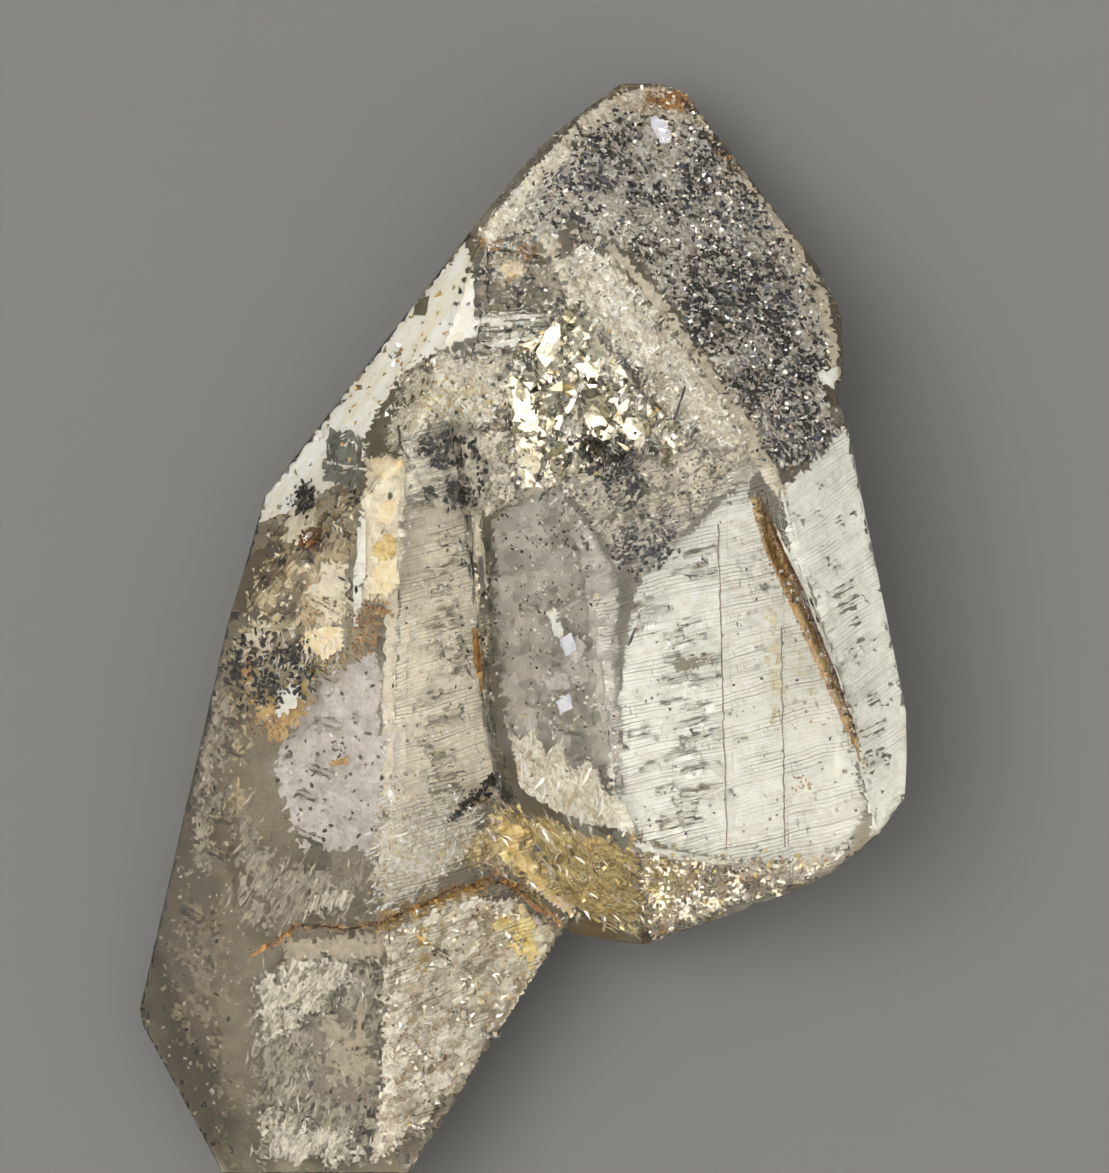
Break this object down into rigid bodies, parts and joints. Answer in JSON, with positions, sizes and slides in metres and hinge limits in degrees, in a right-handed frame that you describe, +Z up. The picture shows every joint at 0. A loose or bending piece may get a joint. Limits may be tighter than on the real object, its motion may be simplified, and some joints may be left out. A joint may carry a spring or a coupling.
{
  "type": "black phantom quartz crystal",
  "caption": "Clear quartz specimen of crystals grown side by side, with a blunted tip, a broken base, iron stains and a black speckled phantom, lying on its flat back.",
  "frame": {"origin": "under the middle of the specimen's bounding box, on the surface that the flat back rests on", "axes": "+Z up out of the back, +Y along the crystals towards the blunted tip, +X towards the stout crystal's side"},
  "size_m": [0.0386, 0.0606, 0.0169],
  "materials": {
    "quartz": "clear with a faint straw tint, striated and etched on its faces",
    "phantom_flakes": "black to dark grey mineral flakes with a slight glint",
    "iron_stain": "orange to brown iron oxide film in cracks and grooves",
    "white_veil": "bright pearly cracks and crushed quartz"
  },
  "bodies": {
    "root": {"quartz_crystal": "quartz"}
  },
  "joints": []
}
